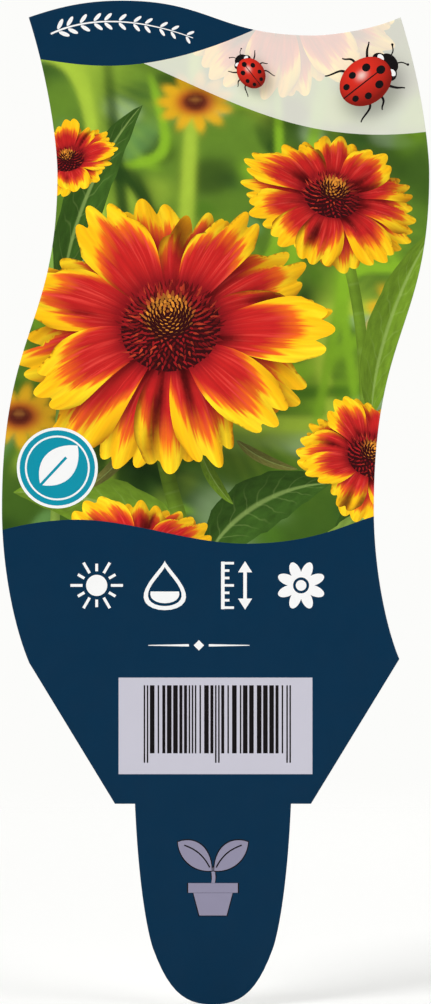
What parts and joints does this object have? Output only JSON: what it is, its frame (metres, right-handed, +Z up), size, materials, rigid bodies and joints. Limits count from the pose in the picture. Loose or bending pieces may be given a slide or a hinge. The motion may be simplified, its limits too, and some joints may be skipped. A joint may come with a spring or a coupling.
{
  "type": "plant label",
  "caption": "Upright die-cut plastic plant label: a wavy-edged printed body over a round-tipped tongue that is pushed into potting soil, with two ledges that stop it at the soil line.",
  "frame": {"origin": "on the sheet's mid-plane at the soil line, centred on the tongue's root: the level of the two ledges", "axes": "+Z up along the label towards its top edge, -Y out of the picture side, +X to the right as the picture side is seen"},
  "size_m": [0.0729, 0.0006, 0.171],
  "materials": {
    "printed_plastic": "white polystyrene sheet with a full-colour offset print on the picture side, mostly navy, under clear satin varnish; white on its cut edge and on its back, which has a sparse print in navy alone"
  },
  "bodies": {
    "root": {"plant_label": "printed_plastic"}
  },
  "joints": []
}
